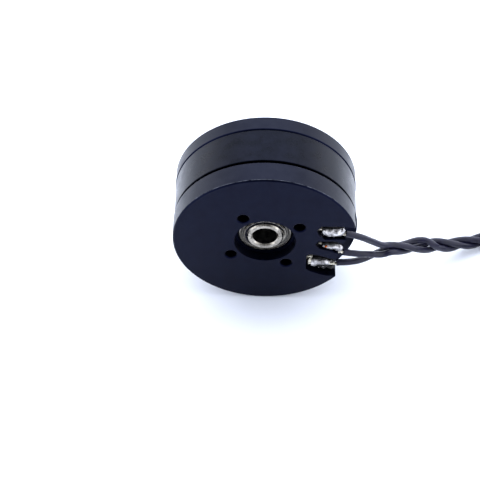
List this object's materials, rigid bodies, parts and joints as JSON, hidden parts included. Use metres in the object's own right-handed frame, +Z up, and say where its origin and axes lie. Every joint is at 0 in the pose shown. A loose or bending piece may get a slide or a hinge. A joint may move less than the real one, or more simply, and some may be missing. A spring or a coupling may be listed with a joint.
{
  "type": "brushless gimbal motor",
  "caption": "Flat hollow-shaft outrunner motor standing on its rim, with a screw-mount base plate, a turning cap and ring, and twisted leads from a rim pocket.",
  "frame": {"origin": "centre of the base plate's mounting face, on the shaft axis", "axes": "+Y along the shaft from the base plate to the rotor cap, +Z up, +X to the right seen from the base plate; the surface it stands on is at Z = -0.020"},
  "size_m": [0.1262, 0.0232, 0.04],
  "materials": {
    "anodised_aluminium": "black anodised, satin",
    "black_steel": "black oxide, satin",
    "magnet": "nickel plated",
    "copper_winding": "enamelled copper wire",
    "lamination_steel": "stacked laminations",
    "insulator_plastic": "moulded nylon",
    "solder": "bright solder",
    "board": "black solder mask",
    "silicone_lead": "silicone rubber",
    "plug_plastic": "moulded nylon",
    "plug_contact": "gold flashed",
    "strap_fabric": "hook-and-loop strap",
    "bearing_cage": "moulded nylon",
    "bearing_steel": "ground and polished"
  },
  "bodies": {
    "stator": {"base_plate": "anodised_aluminium", "coil_01": "copper_winding", "coil_02": "copper_winding", "coil_03": "copper_winding", "coil_04": "copper_winding", "coil_05": "copper_winding", "coil_06": "copper_winding", "coil_07": "copper_winding", "coil_08": "copper_winding", "coil_09": "copper_winding", "coil_10": "copper_winding", "coil_11": "copper_winding", "coil_12": "copper_winding", "front_bearing_outer_ring": "bearing_steel", "front_bearing_shields": "bearing_steel", "front_slot_insulator": "insulator_plastic", "hank_tie": "strap_fabric", "lead_bundle": "silicone_lead", "lead_hank": "silicone_lead", "lead_lower": "silicone_lead", "lead_middle": "silicone_lead", "lead_tail": "silicone_lead", "lead_upper": "silicone_lead", "phase_wires": "copper_winding", "plug_contacts": "plug_contact", "plug_housing": "plug_plastic", "rear_bearing_outer_ring": "bearing_steel", "rear_bearing_shields": "bearing_steel", "rear_slot_insulator": "insulator_plastic", "solder_joint_lower": "solder", "solder_joint_middle": "solder", "solder_joint_upper": "solder", "stator_core": "lamination_steel", "terminal_board": "board"},
    "rotor": {"flux_ring": "black_steel", "front_bearing_inner_ring": "bearing_steel", "hollow_shaft": "bearing_steel", "inner_ring_spacer": "bearing_steel", "magnet_01": "magnet", "magnet_02": "magnet", "magnet_03": "magnet", "magnet_04": "magnet", "magnet_05": "magnet", "magnet_06": "magnet", "magnet_07": "magnet", "magnet_08": "magnet", "magnet_09": "magnet", "magnet_10": "magnet", "magnet_11": "magnet", "magnet_12": "magnet", "magnet_13": "magnet", "magnet_14": "magnet", "preload_washer": "bearing_steel", "rear_bearing_inner_ring": "bearing_steel", "retaining_ring": "bearing_steel", "rotor_cap": "anodised_aluminium"},
    "front_cage": {"front_bearing_balls": "bearing_steel", "front_bearing_cage": "bearing_cage"},
    "rear_cage": {"rear_bearing_balls": "bearing_steel", "rear_bearing_cage": "bearing_cage"}
  },
  "joints": [
    {"name": "rotor_spin", "type": "hinge", "parent": "stator", "child": "rotor", "pos_m": [0, 0, 0], "axis": [0, 1, 0], "continuous": true},
    {"name": "front_cage_spin", "type": "hinge", "parent": "stator", "child": "front_cage", "pos_m": [0, 0, 0], "axis": [0, 1, 0], "continuous": true},
    {"name": "rear_cage_spin", "type": "hinge", "parent": "stator", "child": "rear_cage", "pos_m": [0, 0, 0], "axis": [0, 1, 0], "continuous": true}
  ],
  "couplings": [
    {"joint": "front_cage_spin", "follows": "rotor_spin", "ratio": 0.44},
    {"joint": "rear_cage_spin", "follows": "rotor_spin", "ratio": 0.44}
  ]
}
